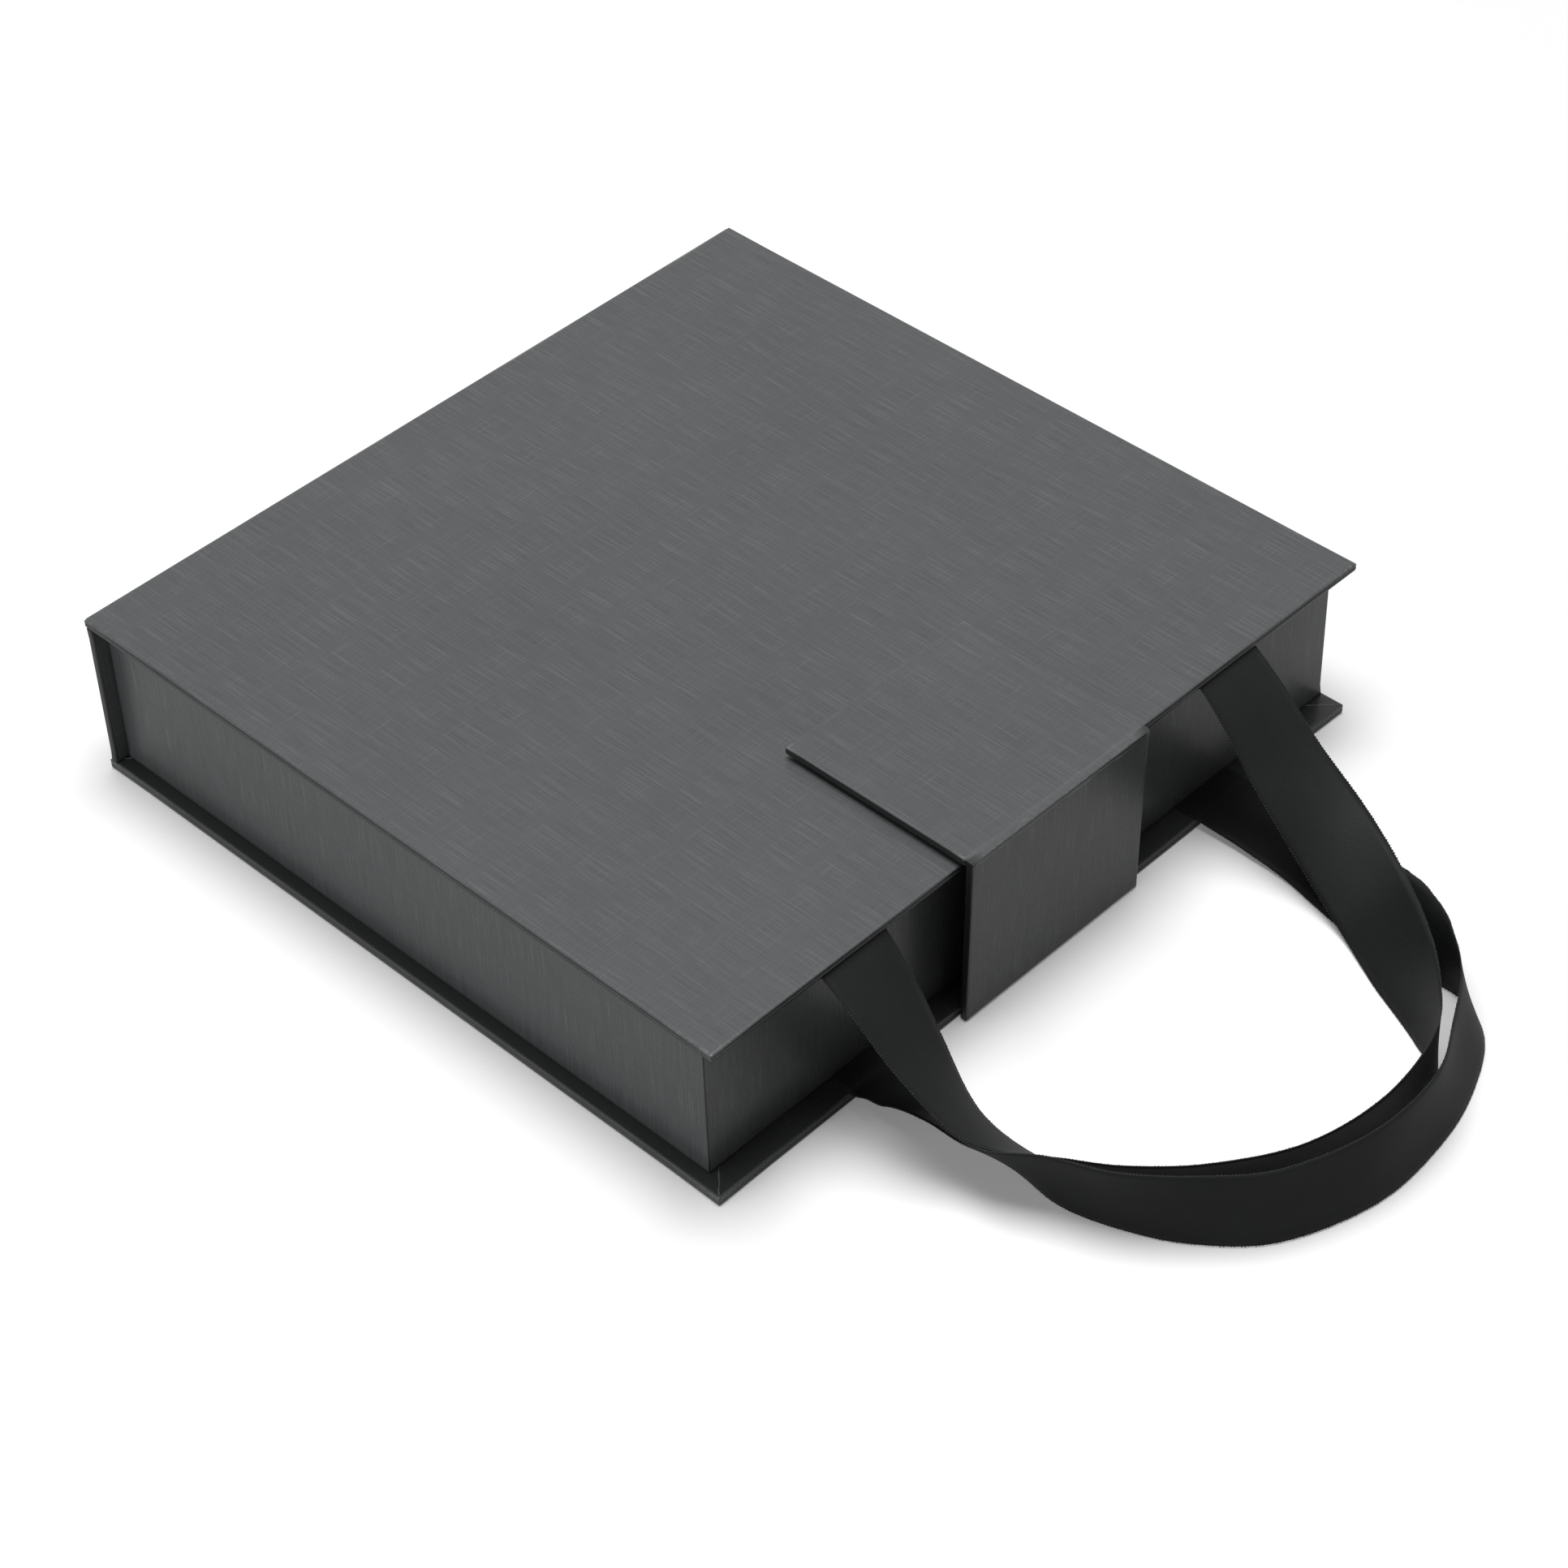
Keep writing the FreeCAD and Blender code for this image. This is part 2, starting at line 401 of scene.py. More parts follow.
def lining_paper():
    """Plain dark paper with a faint fibre."""
    name = "lining paper"
    known = bpy.data.materials.get(name)
    if known:
        return known
    colours = settings().colours
    s = Shader(name)
    where = s.place()
    fibre = s.even_noise(where, 900, 4.0)
    cloud = s.even_noise(where, 22)
    tone = 0.45 + 0.5 * (fibre - 0.5) + 0.5 * (cloud - 0.5)
    paper = s.mix(tone, shade(colours.lining, 0.75), shade(colours.lining, 1.4))
    paper = s.mix(s.attribute("wear") * 0.5, paper, shade(colours.worn, 0.6))
    return s.surface(height=fibre, depth=0.05 * MM, strength=0.25, Base_Color=paper,
                     Roughness=0.62 + 0.15 * (cloud - 0.5), Specular_IOR_Level=0.3)


def grey_board():
    """Raw recycled board with mixed fibres."""
    name = "grey board"
    colours = settings().colours
    s = Shader(name)
    where = x, y, z = s.place()
    fibre = s.noise(x * 700, y * 1400, z * 1100, 5.0)
    layers = s.noise(x * 60, y * 60, z * 2600)
    speck = s.step(s.even_noise(where, 1500, 1.0), 0.68, 0.76)
    tone = 0.5 + 0.7 * (fibre - 0.5) + 0.4 * (layers - 0.5)
    board = s.mix(tone, shade(colours.board, 0.72), shade(colours.board, 1.2))
    board = s.mix(speck * 0.6, board, shade(colours.board, 0.35))
    return s.surface(height=fibre + layers * 0.6, depth=0.1 * MM, strength=0.4, Base_Color=board,
                     Roughness=0.85 + 0.1 * (fibre - 0.5), Specular_IOR_Level=0.2)


def plated_steel():
    """Drawn steel with fine lines along its length."""
    name = "plated steel"
    colours = settings().colours
    s = Shader(name)
    x, y, z = s.place()
    lines = s.noise(x * 40, y * 3000, z * 3000)
    steel = s.mix(lines, shade(colours.steel, 0.85), shade(colours.steel, 1.1))
    return s.surface(height=lines, depth=0.03 * MM, strength=0.2, Base_Color=steel, Metallic=1.0,
                     Roughness=0.28 + 0.2 * (lines - 0.5))


def woven_ribbon():
    """Ribbon with fine slanting ribs that are clearest near its roots, and a painted highlight along
    its edges.
    """
    name = "woven ribbon"
    known = bpy.data.materials.get(name)
    if known:
        return known
    colours = settings().colours
    s = Shader(name)
    across, along, _ = s.place("UV")
    pitch = 0.75 * MM
    lean = 0.75
    slant = (along + across * lean) * (2 * math.pi / pitch)
    rib = s.node("ShaderNodeMath", {"operation": "SINE"}, {0: slant}) * 0.5 + 0.5
    yarn = s.noise(across * 2600, along * 500, 0.0, 3.0)
    sheen = s.noise(across * 60, along * 34, 2.0)
    root = s.attribute("root")
    edge = s.attribute("edge")
    shown = (rib - 0.4) * (0.3 + 0.8 * root)
    # The 'edge' mark lightens the ribbon near its edges as a painted highlight.
    tone = 0.32 + 0.7 * shown + 0.4 * (yarn - 0.5) + 0.5 * (sheen - 0.5) + 0.2 * edge
    cloth = s.mix(tone, shade(colours.ribbon, 0.6), shade(colours.ribbon, 2.6))
    return s.surface(height=rib * 0.8 + yarn * 0.5, depth=0.08 * MM, strength=0.3, Base_Color=cloth,
                     Roughness=0.55 - 0.12 * (sheen - 0.5), Specular_IOR_Level=0.14)


def ribbon_loops():
    """Twisted yarn of the ribbon's woven edge, painted lighter than the ribbon as a highlight."""
    name = "ribbon loops"
    known = bpy.data.materials.get(name)
    if known:
        return known
    colours = settings().colours
    s = Shader(name)
    twist = s.even_noise(s.place(), 1400, 1.0)
    # The loops are painted lighter than the ribbon as a painted highlight on the woven edge.
    yarn = s.mix(twist, shade(colours.ribbon, 1.4), shade(colours.ribbon, 4.2))
    return s.surface(height=twist, depth=0.04 * MM, strength=0.2, Base_Color=yarn,
                     Roughness=0.5 + 0.1 * (twist - 0.5), Specular_IOR_Level=0.25)


def worn_fibre():
    """Torn paper fibres on a fold."""
    name = "worn fibre"
    colours = settings().colours
    s = Shader(name)
    tuft = s.even_noise(s.place(), 2500)
    fibre = s.mix(tuft, shade(colours.worn, 0.6), shade(colours.worn, 1.3))
    return s.surface(height=tuft, depth=0.04 * MM, strength=0.3, Base_Color=fibre,
                     Roughness=0.8 + 0.1 * (tuft - 0.5), Specular_IOR_Level=0.2)


def pale_table():
    """White studio floor that keeps the box's shadow."""
    s = Shader("pale table")
    colours = settings().colours
    path = s.node("ShaderNodeLightPath").socket.node
    camera, glossy, clear = (Wire(s, path.outputs[label]) for label in (
        "Is Camera Ray", "Is Glossy Ray", "Is Transmission Ray"))
    x, y, _ = s.place()
    far = s.step(x * x + y * y, GLOW_START, GLOW_END)
    seen = camera * (NEAR_GLOW + (1 - NEAR_GLOW) * far) + (glossy + clear) * MIRROR_GLOW
    glow = s.mix(seen, BLACK, WHITE)
    grain = s.noise(x * 40, y * 40, 0.0)
    colour = s.mix(grain, shade(colours.table, 0.99), shade(colours.table, 1.0))
    colour = s.mix(camera, colour, shade(WHITE[:3], 0.95))
    return s.surface(Base_Color=colour, Roughness=0.9, Specular_IOR_Level=0.0,
                     Emission_Color=glow, Emission_Strength=1.0)


def rounded_ring(half_x, half_y, radius, straight=14, arc=4):
    """Points round a rectangle with rounded corners, centred on the origin."""
    signs = ((1, 1), (-1, 1), (-1, -1), (1, -1))
    centres = [Vector((sx * (half_x - radius), sy * (half_y - radius))) for sx, sy in signs]
    points = []
    for k, centre in enumerate(centres):
        for i in range(arc + 1):
            turn = math.radians(90 * (k + i / arc))
            points.append(centre + radius * Vector((math.cos(turn), math.sin(turn))))
        turn = math.radians(90 * (k + 1))
        start = points[-1]
        end = centres[(k + 1) % 4] + radius * Vector((math.cos(turn), math.sin(turn)))
        points.extend(start.lerp(end, i / straight) for i in range(1, straight))
    return points


def loft(rings, closed=False):
    """Mesh through rings of equal length: capped at both ends, or joined end to end."""
    made = bmesh.new()
    rows = [[made.verts.new(point) for point in ring] for ring in rings]
    pairs = list(zip(rows, rows[1:]))
    if closed:
        pairs.append((rows[-1], rows[0]))
    for upper, lower in pairs:
        for i in range(len(upper)):
            j = (i + 1) % len(upper)
            face = made.faces.new((upper[i], lower[i], lower[j], upper[j]))
            face.smooth = True
    if not closed:
        made.faces.new(rows[0])
        made.faces.new(reversed(rows[-1]))
    bmesh.ops.recalc_face_normals(made, faces=made.faces)
    return made


def plain_mesh(name, made):
    """A mesh from a finished bmesh, which is freed."""
    mesh = bpy.data.meshes.new(name)
    made.to_mesh(mesh)
    made.free()
    return mesh


def piece(name, made, material):
    """A piece of the box from a finished bmesh."""
    mesh = plain_mesh(name, made)
    mesh.materials.append(material)
    obj = add_object(name, mesh)
    return obj


def set_numbers(obj, name, numbers):
    """Keeps a number on each point of a mesh."""
    layer = obj.data.attributes.new(name, "FLOAT", "POINT")
    layer.data.foreach_set("value", numbers)


def set_marks(obj, name, mark):
    """Keeps a number on each point of a mesh, worked out from the point's place."""
    set_numbers(obj, name, [mark(vertex.co) for vertex in obj.data.vertices])


def lip_profile(thickness, groove):
    """Inset and depth of a wrapped board's edge, from its top face to its underside."""
    t = thickness
    return (
        (3.0 * MM, 0.0), (0.9 * MM, 0.0), (0.5 * MM, 0.02 * MM), (0.2 * MM, 0.12 * MM),
        (0.04 * MM, 0.3 * MM), (0.0, 0.52 * MM), (groove * 0.5, 0.75 * MM), (groove, 0.36 * t),
        (groove, 0.5 * t), (groove * 0.4, t - 1.1 * MM), (0.0, t - 0.95 * MM),
        (0.02 * MM, t - 0.75 * MM), (0.1 * MM, t - 0.25 * MM), (0.35 * MM, t - 0.05 * MM),
        (0.8 * MM, t), (3.0 * MM, t),
    )


def wrapped_panel(low, high, bulge=0.15 * MM, groove=0.0):
    """Rings of a board wrapped in paper, with rolled lips and small nubs at its corners."""
    sizes = settings().sizes
    half_x = (high.x - low.x) / 2 + bulge
    half_y = (high.y - low.y) / 2 + bulge
    middle = (low + high) / 2
    thickness = high.z - low.z
    lip = 0.6 * MM
    spread = 1.3 * MM
    rings = []
    for inset, depth in lip_profile(thickness, groove):
        radius = max(sizes.corner - inset * 0.5, 0.1 * MM)
        hollow = lip < depth < thickness - MM
        edge = 1.0 if hollow else max(0.0, 1 - inset / lip)
        fill = inset if hollow else 0.0
        ring = []
        for point in rounded_ring(half_x - inset, half_y - inset, radius):
            gap = math.hypot(half_x - abs(point.x), half_y - abs(point.y))
            flare = (0.7 * sizes.nub * edge + fill) * math.exp(-(gap / spread) ** 2)
            out = Vector((math.copysign(flare, point.x), math.copysign(flare, point.y)))
            ring.append(Vector((middle.x + point.x + out.x, middle.y + point.y + out.y,
                                high.z - depth)))
        rings.append(ring)
    return rings


def corner_wear(low, high, reach=0.9 * MM, level=0.5):
    """A mark that is strongest on a panel's outer corners and fades away from them."""
    def mark(co):
        gap_x = min(abs(co.x - low.x), abs(co.x - high.x))
        gap_y = min(abs(co.y - low.y), abs(co.y - high.y))
        return level * math.exp(-((gap_x + gap_y) / reach) ** 2)
    return mark


def edge_shade(low, high, level, z_low, z_high, depth=0.5 * MM):
    """A painted-shade mark for the part of a panel's edge face that lies between two heights."""
    def mark(co):
        gap = min(co.x - low.x, high.x - co.x, co.y - low.y, high.y - co.y)
        return level if gap < depth and z_low < co.z < z_high else 0.0
    return mark


def grow(name, points, tree, values, material):
    """Runs a node tree on lines of points and keeps the result as a plain mesh."""
    line = bpy.data.meshes.new(name + "_line")
    verts = [co for row in points for co in row]
    edges = []
    start = 0
    for row in points:
        edges.extend((start + i, start + i + 1) for i in range(len(row) - 1))
        start += len(row)
    line.from_pydata(verts, edges, [])
    carrier = add_object(name + "_carrier", line)
    modifier = carrier.modifiers.new(name, "NODES")
    modifier.node_group = tree
    sockets = {item.name: item.identifier for item in tree.interface.items_tree}
    for key, value in {**values, "Material": material}.items():
        modifier[sockets[key]] = value
    seen = carrier.evaluated_get(bpy.context.evaluated_depsgraph_get())
    mesh = bpy.data.meshes.new_from_object(seen)
    mesh.name = name
    bpy.data.objects.remove(carrier)
    if not mesh.polygons:
        raise RuntimeError(name + " has no faces")
    return add_object(name, mesh)


class NodeTree:
    """A geometry tree while its nodes are being added."""

    def __init__(self, name, inputs):
        self.tree = bpy.data.node_groups.new(name, "GeometryNodeTree")
        face = self.tree.interface
        face.new_socket("Geometry", in_out="OUTPUT", socket_type="NodeSocketGeometry")
        face.new_socket("Geometry", in_out="INPUT", socket_type="NodeSocketGeometry")
        for label, kind in inputs:
            face.new_socket(label, in_out="INPUT", socket_type=kind)
        face.new_socket("Material", in_out="INPUT", socket_type="NodeSocketMaterial")
        self.given = self.tree.nodes.new("NodeGroupInput")

    def node(self, kind, options=None, sockets=None):
        """Adds a node to this tree."""
        return add_node(self.tree, kind, options, sockets)

    def dots(self):
        """Points along the given lines, one pitch apart."""
        line = self.node("GeometryNodeMeshToCurve", None, {0: self.given.outputs["Geometry"]})
        return self.node("GeometryNodeResampleCurve", {"mode": "LENGTH"}, {
            "Curve": line.outputs[0], "Length": self.given.outputs["Pitch"]}).outputs[0]

    def ball(self, radius):
        """A small faceted ball with one of the given radii."""
        return self.node("GeometryNodeMeshIcoSphere", None, {
            "Radius": self.given.outputs[radius], "Subdivisions": 1}).outputs[0]

    def end(self, instances):
        """Makes the instances real, gives them the material and closes the tree."""
        real = self.node("GeometryNodeRealizeInstances", None, {0: instances})
        painted = self.node("GeometryNodeSetMaterial", None, {
            "Geometry": real.outputs[0], "Material": self.given.outputs["Material"]})
        self.node("NodeGroupOutput", None, {0: painted.outputs[0]})
        return self.tree


def selvedge_tree():
    """Small woven loops along a ribbon's edges."""
    t = NodeTree("ribbon selvedge", (("Pitch", "NodeSocketFloat"), ("Bead", "NodeSocketFloat")))
    size = t.node("FunctionNodeRandomValue", {"data_type": "FLOAT"}, {2: 0.7, 3: 1.15, "Seed": 5})
    beads = t.node("GeometryNodeInstanceOnPoints", None, {
        "Points": t.dots(), "Instance": t.ball("Bead"), "Scale": size.outputs[1]})
    return t.end(beads.outputs[0])


def fibre_tree():
    """Scattered tufts of torn paper along a worn fold."""
    t = NodeTree("fold fibres", (("Pitch", "NodeSocketFloat"), ("Tuft", "NodeSocketFloat"),
                                 ("Share", "NodeSocketFloat")))
    kept = t.node("FunctionNodeRandomValue", {"data_type": "BOOLEAN"}, {
        "Probability": t.given.outputs["Share"], "Seed": 11})
    shape = t.node("FunctionNodeRandomValue", {"data_type": "FLOAT_VECTOR"}, {
        0: (0.6, 0.4, 0.3), 1: (3.2, 1.0, 0.8), "Seed": 3})
    turn = t.node("FunctionNodeRandomValue", {"data_type": "FLOAT_VECTOR"}, {
        0: (-0.3, -0.3, -0.5), 1: (0.3, 0.3, 0.5), "Seed": 8})
    tufts = t.node("GeometryNodeInstanceOnPoints", None, {
        "Points": t.dots(), "Instance": t.ball("Tuft"), "Selection": kept.outputs[3],
        "Scale": shape.outputs[0], "Rotation": turn.outputs[0]})
    return t.end(tufts.outputs[0])


def curve_through(a, b, c, d, s):
    """Value at a share s of the way from b to c, on a smooth curve through all four."""
    return b + ((c - a) * s + (2 * a - 5 * b + 4 * c - d) * s ** 2
                + (3 * b - a - 3 * c + d) * s ** 3) / 2


def route(stations):
    """Middle points and rolls along a ribbon, smoothed between its stations."""
    sizes = settings().sizes
    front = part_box("lid_wrap")[0].y
    half = sizes.ribbon_width / 2
    clear = 0.05 * MM
    rim = 1.2 * sizes.bead + clear
    sag = MEAN_SINE * sizes.ribbon_crown

    def lowest(roll):
        """Height of the ribbon's middle when its lower edge is just above the table."""
        turn = math.radians(roll)
        return half * abs(math.sin(turn)) + sag * abs(math.cos(turn)) + rim

    knots = []
    for x, out, height, roll in stations:
        knots.append((x * MM, front - out * MM, max(height * MM, lowest(roll)), roll))
    filled = []
    last = len(knots) - 1
    for i in range(last):
        near = [knots[max(i - 1, 0)], knots[i], knots[i + 1], knots[min(i + 2, last)]]
        for k in range(sizes.ribbon_steps):
            share = k / sizes.ribbon_steps
            filled.append([curve_through(*four, share) for four in zip(*near)])
    filled.append(knots[last])
    middles = []
    for x, y, z, roll in filled:
        middles.append(Vector((x, y, max(z, lowest(roll)))))
    return middles, [row[3] for row in filled]


def ribbon_sections(stations, columns=12):
    """For each step along a ribbon: its across points, its normal and the length so far."""
    sizes = settings().sizes
    middles, rolls = route(stations)
    sections = []
    length = 0.0
    count = len(middles)
    for i, middle in enumerate(middles):
        ahead = (middles[min(i + 1, count - 1)] - middles[max(i - 1, 0)]).normalized()
        level = ahead.cross(Vector((0, 0, 1))).normalized()
        rise = level.cross(ahead)
        roll = math.radians(rolls[i])
        across = level * math.cos(roll) + rise * math.sin(roll)
        normal = across.cross(ahead).normalized()
        if i:
            length += (middle - middles[i - 1]).length
        crown = sizes.ribbon_crown * math.sin(math.pi * i / (count - 1))
        row = []
        for k in range(columns + 1):
            share = k / columns
            lift = crown * (math.sin(math.pi * share) - MEAN_SINE)
            row.append(middle + across * (share - 0.5) * sizes.ribbon_width + normal * lift)
        sections.append((row, normal, length))
    return sections


def ribbon(name, stations):
    """One length of ribbon as a closed thin strip, and the lines of its two edges."""
    sizes = settings().sizes
    sections = ribbon_sections(stations)
    half = sizes.ribbon_thickness / 2
    total = sections[-1][2]
    rings = []
    for row, normal, _ in sections:
        upper = [co + normal * half for co in row]
        lower = [co - normal * half for co in row]
        rings.append(upper + lower[::-1])
    obj = piece(name, loft(rings), woven_ribbon())
    columns = len(sections[0][0])
    spots = []
    for _, _, length in sections:
        shares = [k / (columns - 1) for k in range(columns)]
        for share in shares + shares[::-1]:
            spots.append((share * sizes.ribbon_width, length))
    layer = obj.data.uv_layers.new(name="ribbon")
    for loop in obj.data.loops:
        layer.data[loop.index].uv = spots[loop.vertex_index]
    set_numbers(obj, "root", [
        max(0.0, 1 - min(length, total - length) / ROOT_FADE) for _, length in spots])
    # The 'edge' mark fades from 1 at each edge of the ribbon and drives a painted highlight there.
    set_numbers(obj, "edge", [
        max(0.0, 1 - min(u, sizes.ribbon_width - u) / EDGE_HIGHLIGHT_FADE) for u, _ in spots])
    lines = [[row[0] for row, _, _ in sections], [row[-1] for row, _, _ in sections]]
    return obj, lines, total


class GIFTBOX_OT_stage(bpy.types.Operator):
    """Table, soft lamps, pale surroundings and the camera"""

    bl_idname = "giftbox.stage"
    bl_label = "Stage"

    def execute(self, context):
        scene = context.scene
        scene.view_settings.view_transform = "Standard"
        made = bmesh.new()
        bmesh.ops.create_grid(made, x_segments=8, y_segments=8, size=TABLE_HALF)
        bmesh.ops.translate(made, verts=made.verts, vec=(0, 0, -TABLE_DROP))
        mesh = plain_mesh("table", made)
        mesh.materials.append(pale_table())
        table = add_object("table", mesh)
        self.surroundings(scene)
        self.lamp("overhead", place=(0.04, 0.03, 1.6), aim=(0.0, 0.0, 0.03), size=0.9, power=25)
        self.lamp("left fill", place=(-1.6, 0.3, 0.5), aim=(-0.13, 0.0, 0.03), size=1.0, power=6.5)
        self.camera(scene)
        return {"FINISHED"}

    def surroundings(self, scene):
        """White to the camera and in reflections, and dim as a light."""
        world = bpy.data.worlds.new("studio")
        scene.world = world
        world.use_nodes = True
        tree = world.node_tree
        tree.nodes.clear()
        path = add_node(tree, "ShaderNodeLightPath")
        seen = path.outputs["Is Camera Ray"]
        for label in ("Is Glossy Ray", "Is Transmission Ray"):
            seen = add_node(tree, "ShaderNodeMath", {"operation": "MAXIMUM"}, {
                0: seen, 1: path.outputs[label]}).outputs[0]
        level = add_node(tree, "ShaderNodeMapRange", None, {
            "Value": seen, "To Min": WORLD_LIGHT, "To Max": 1.0})
        sky = add_node(tree, "ShaderNodeBackground", None, {
            "Color": WHITE, "Strength": level.outputs[0]})
        add_node(tree, "ShaderNodeOutputWorld", None, {"Surface": sky.outputs[0]})

    def lamp(self, name, place, aim, size, power):
        """A square soft lamp that faces a point."""
        light = bpy.data.lights.new(name, "AREA")
        light.shape = "SQUARE"
        light.size = size
        light.energy = power
        obj = add_object(name, light)
        obj.location = place
        away = Vector(place) - Vector(aim)
        obj.rotation_euler = away.to_track_quat("Z", "Y").to_euler()

    def camera(self, scene):
        """The viewpoint of the photograph."""
        view = settings().view
        a, e, roll = view.azimuth, view.elevation, view.roll
        back = Vector((math.sin(a) * math.cos(e), -math.cos(a) * math.cos(e), math.sin(e)))
        level = Vector((math.cos(a), math.sin(a), 0))
        up = back.cross(level)
        right = level * math.cos(roll) + up * math.sin(roll)
        top = up * math.cos(roll) - level * math.sin(roll)
        data = bpy.data.cameras.new("viewpoint")
        data.lens = view.lens
        data.sensor_width = SENSOR
        data.clip_start = CLIP_NEAR
        data.clip_end = CLIP_FAR
        camera = add_object("viewpoint", data)
        turn = Matrix((right, top, back)).transposed().to_4x4()
        camera.matrix_world = Matrix.Translation(Vector(view.place)) @ turn
        scene.camera = camera


class GIFTBOX_OT_boards(bpy.types.Operator):
    """Finishes of the boards, linings, magnets and pad that keep their own solids"""

    bl_idname = "giftbox.boards"
    bl_label = "Boards and linings"

    def execute(self, context):
        board = grey_board()
        steel = plated_steel()
        lining = lining_paper()
        cover = flat_paper()
        finishes = {
            board: ("bottom_board", "spine_board", "lid_board", "tongue_board", "flap_board",
                    "tray_base", "tray_front_wall", "tray_back_wall", "tray_left_wall",
                    "tray_right_wall"),
            steel: ("keeper_strips", "flap_magnets"),
            lining: ("tray_wall_lining", "tray_floor_lining"),
            cover: ("tongue_pad",),
        }
        for material, names in finishes.items():
            for name in names:
                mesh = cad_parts[name].data
                mesh.materials.clear()
                mesh.materials.append(material)
        return {"FINISHED"}


class GIFTBOX_OT_lid(bpy.types.Operator):
    """Lid in its covering paper, with a rolled edge, and the lining under it"""

    bl_idname = "giftbox.lid"
    bl_label = "Lid cover"

    def execute(self, context):
        sizes = settings().sizes
        low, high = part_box("lid_wrap")
        rings = wrapped_panel(low, high, groove=sizes.groove)
        rear = 1.2 * MM
        for ring in rings:
            for co in ring:
                if co.y > high.y - rear:
                    wave = (0.6 * math.sin(co.x * SPINE_WAVES)
                            + 0.4 * math.sin(co.x * FINE_WAVES + 1.3))
                    co.y = min(co.y, high.y) + sizes.wave * (wave - 1)
        lid = piece("lid_cover", loft(rings), flat_paper())
        set_marks(lid, "wear", corner_wear(low, high))
        # Painted shade: the hollow of the lid's edge face is darkened, and its lowest 0.8 mm is
        # painted near black as the shadow line over the tray wall.
        face = edge_shade(low, high, 0.8, low.z + 1.3 * MM, high.z - 0.6 * MM)
        gap = edge_shade(low, high, 1.0, low.z, low.z + 0.8 * MM)
        set_marks(lid, "seam", lambda co: max(face(co), gap(co)))
        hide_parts("lid_wrap")
        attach(lid, "lid")
        low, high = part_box("lid_liner")
        low = Vector((low.x, low.y, low.z - 0.12 * MM))
        radius = 0.4 * MM
        rows = []
        for inset, z in ((0.0, high.z), (0.0, low.z + 0.05 * MM), (0.08 * MM, low.z)):
            rows.append([Vector((p.x, p.y + (low.y + high.y) / 2, z)) for p in rounded_ring(
                (high.x - low.x) / 2 - inset, (high.y - low.y) / 2 - inset, radius)])
        lining = piece("lid_lining", loft(rows), lining_paper())
        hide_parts("lid_liner")
        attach(lining, "lid")
        return {"FINISHED"}


class GIFTBOX_OT_bottom(bpy.types.Operator):
    """Bottom of the case in its paper, with mitred turn-ins at the corners"""

    bl_idname = "giftbox.bottom"
    bl_label = "Bottom cover"

    def execute(self, context):
        low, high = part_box("bottom_wrap")
        rings = wrapped_panel(low, high, groove=settings().sizes.groove)
        bottom = piece("bottom_cover", loft(rings), flat_paper())
        set_marks(bottom, "wear", corner_wear(low, high))
        # Painted shade: the bottom's top face, which lies in shade under the lid's overhang, is
        # painted much darker, and the faces below it a little darker.
        edge, top = 0.1, 0.75
        set_marks(bottom, "seam", lambda co: edge if co.z < high.z - 0.2 * MM else top)
        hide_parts("bottom_wrap")
        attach(bottom, "base")
        folds = bmesh.new()
        for sx in (-1, 1):
            for sy in (-1, 1):
                self.mitre(folds, Vector((sx * high.x, sy * high.y, high.z)), -sx, -sy)
        mitres = piece("corner_mitres", folds, flat_paper())
        set_marks(mitres, "wear", lambda co: 0.35)
        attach(mitres, "base")
        return {"FINISHED"}

    def mitre(self, made, corner, sx, sy):
        """A folded paper edge that runs in from a corner at 45 degrees."""
        along = Vector((sx, sy, 0)).normalized()
        side = Vector((-sy, sx, 0)).normalized()
        steps = 9
        foot = Vector((0, 0, -0.1 * MM))
        rings = []
        for i in range(steps):
            reach = (0.9 + 1.7 * i) * MM
            width = (0.28 + 0.06 * math.sin(i * 2.1)) * MM
            place = corner + along * reach + side * 0.12 * MM * math.sin(i * 1.7)
            rings.append([
                place - side * width + foot,
                place - side * width * 0.3 + Vector((0, 0, 0.1 * MM)),
                place + side * width * 0.5 + Vector((0, 0, 0.13 * MM)),
                place + side * width + foot,
            ])
        mesh = plain_mesh("mitre_draft", loft(rings))
        made.from_mesh(mesh)
        bpy.data.meshes.remove(mesh)


